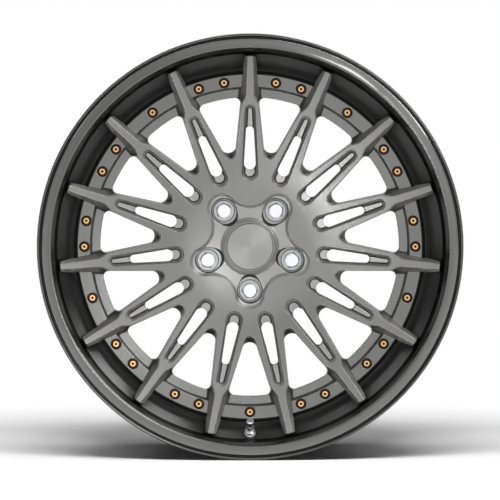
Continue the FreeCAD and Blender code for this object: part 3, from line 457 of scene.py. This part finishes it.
NICKEL = (0.55, 0.52, 0.44, 1.0), (0.72, 0.68, 0.60, 1.0)
BRASS = (0.55, 0.38, 0.14, 1.0), (0.72, 0.52, 0.22, 1.0)

FINISH = {
    "brushed_centre": brushed_centre(),
    "cap_face": cap_face(),
    "dark_lip": dark_lip(),
    "dark_barrel": coated("dark_barrel", tone(0.06), tone(0.10), (0.32, 0.45), 900.0, 0.15,
                          metallic=0.6, Coat_Weight=0.2, Coat_Roughness=0.2),
    "sealant": coated("sealant", tone(0.10), tone(0.18), (0.55, 0.75), 260.0, 0.5, metallic=0.0),
    "gold_bolt": gold_bolt(),
    "plated_steel": coated("plated_steel", tone(0.42), tone(0.60), (0.25, 0.38), 1200.0, 0.15),
    "bright_chrome": bright_chrome(),
    "spring_steel": coated("spring_steel", tone(0.30), tone(0.45), (0.25, 0.4), 1500.0, 0.1),
    "nickel_brass": coated("nickel_brass", *NICKEL, (0.18, 0.3), 1500.0, 0.1),
    "black_rubber": coated("black_rubber", tone(0.015), tone(0.03), (0.55, 0.75), 700.0, 0.3,
                           metallic=0.0),
    "valve_brass": coated("valve_brass", *BRASS, (0.25, 0.4), 1500.0, 0.1),
}

for part in frame["record"]["subparts"]:
    node = NODES[part["node"]]
    node.data.materials.clear()
    node.data.materials.append(FINISH[part["material_slot"]])


# Floor and background

FLOOR_REACH = 30.0
FLOOR_TONE = 0.95
FLOOR_FADE = (0.55, 1.0)


def make_floor():
    """Pale paper under the wheel, plain white farther out."""
    corners = [(-1, -1), (1, -1), (1, 1), (-1, 1)]
    mesh = bpy.data.meshes.new("floor")
    mesh.from_pydata([(x * FLOOR_REACH, y * FLOOR_REACH, cad_low.z) for x, y in corners],
                     [], [(0, 1, 2, 3)])
    floor = bpy.data.objects.new("floor", mesh)
    SCENE.collection.objects.link(floor)
    material = bpy.data.materials.new("floor_paper")
    graph = blank_graph(material)
    paper = graph.add("ShaderNodeBsdfDiffuse", Color=tone(FLOOR_TONE)).outputs[0]
    white = graph.add("ShaderNodeEmission").outputs[0]
    place = graph.add("ShaderNodeNewGeometry").outputs["Position"]
    far = graph.step(graph.measure("LENGTH", place), *FLOOR_FADE)
    surface = graph.mix_shader(graph.times(far, graph.shown_rays()), paper, white)
    graph.add("ShaderNodeOutputMaterial", Surface=surface)
    mesh.materials.append(material)


AMBIENT = 0.05
SIDE_DIM = 0.12
SIDE_FADE = (0.10, 0.58)
DIAGONAL = 0.55
DIAGONAL_BLUR = 0.006


def make_world():
    """White to the camera, graded in reflections and faint for the rest.

    Reflections see it dimmer to the sides, and brighter along one diagonal.
    """
    world = bpy.data.worlds.new("studio")
    SCENE.world = world
    graph = blank_graph(world)

    def background(strength):
        return graph.add("ShaderNodeBackground", Color=tone(1.0), Strength=strength).outputs[0]

    direction = graph.add("ShaderNodeTexCoord").outputs["Generated"]
    parts = graph.add("ShaderNodeSeparateXYZ", Vector=direction).outputs
    across, up = parts["X"], parts["Z"]
    fade = graph.step(graph.math("ABSOLUTE", parts["Y"]), *SIDE_FADE, lowest=SIDE_DIM)
    square = graph.math("ADD", graph.times(across, across), graph.times(up, up))
    slant = graph.math("DIVIDE", graph.times(across, up),
                       graph.math("ADD", square, DIAGONAL_BLUR))
    sway = graph.math("ADD", graph.times(slant, DIAGONAL), 1.0)
    graded = background(graph.times(fade, sway))
    camera_ray = graph.add("ShaderNodeLightPath").outputs["Is Camera Ray"]
    shown = graph.mix_shader(camera_ray, graded, background(1.0))
    light = graph.mix_shader(graph.shown_rays(), background(AMBIENT), shown)
    graph.add("ShaderNodeOutputWorld", Surface=light)


# Lamps aim at the middle of the wheel: name, place, width and height, power, roll.
# Those overhead light the floor and cast the shadow, and the others show in the metal.

OVERHEAD = (
    ("softbox", (0.0, -0.80, 2.30), (4.0, 3.0), 46.0, 0),
    ("key", (0.0, -1.50, 2.15), (1.8, 0.6), 64.0, 0),
)
MIRRORED = (
    ("strip", (0.92, -2.0, 1.04), (0.55, 1.2), 8.5, 8),
    ("fill", (-0.34, -2.0, -0.42), (0.28, 0.40), 1.4, -40),
    ("wall_strip", (1.05, -0.30, 1.55), (0.6, 1.8), 34.0, 0),
    ("wall_fill", (-1.05, -0.30, 1.55), (0.6, 1.8), 11.0, 0),
    ("glint", (-0.110, -1.288, -0.099), (0.11, 0.045), 0.30, -48),
)


def make_light(name, place, size, power, roll, mirrored):
    lamp = bpy.data.lights.new(name, "AREA")
    lamp.shape = "RECTANGLE"
    lamp.size, lamp.size_y = size
    lamp.energy = power
    light = bpy.data.objects.new(name, lamp)
    light.location = place
    aim = Vector(place).to_track_quat("Z", "Y")
    turn = Quaternion((0.0, 0.0, 1.0), math.radians(roll))
    light.rotation_euler = (aim @ turn).to_euler()
    light.visible_glossy = mirrored
    light.visible_diffuse = not mirrored
    SCENE.collection.objects.link(light)


# Camera: in front of the wheel, a little to the left and above its axis

EYE_AWAY, EYE_LEFT, EYE_UP = 3.5, 0.055, 0.045
SENSOR, LENS = 36.0, 197.0
SHIFT_X, SHIFT_Y = -0.0010, -0.0058
SIGHT = 100.0


def make_camera():
    lens = bpy.data.cameras.new("camera")
    lens.sensor_width = SENSOR
    lens.lens = LENS
    lens.clip_end = SIGHT
    lens.shift_x = SHIFT_X
    lens.shift_y = SHIFT_Y
    camera = bpy.data.objects.new("camera", lens)
    camera.location = (-EYE_LEFT, cad_low.y - EYE_AWAY, EYE_UP)
    tilt, turn = math.atan(EYE_UP / EYE_AWAY), math.atan(EYE_LEFT / EYE_AWAY)
    camera.rotation_euler = (math.pi / 2 - tilt, 0.0, -turn)
    SCENE.collection.objects.link(camera)
    SCENE.camera = camera


make_floor()
make_world()
for lamp_row in OVERHEAD:
    make_light(*lamp_row, mirrored=False)
for lamp_row in MIRRORED:
    make_light(*lamp_row, mirrored=True)
make_camera()
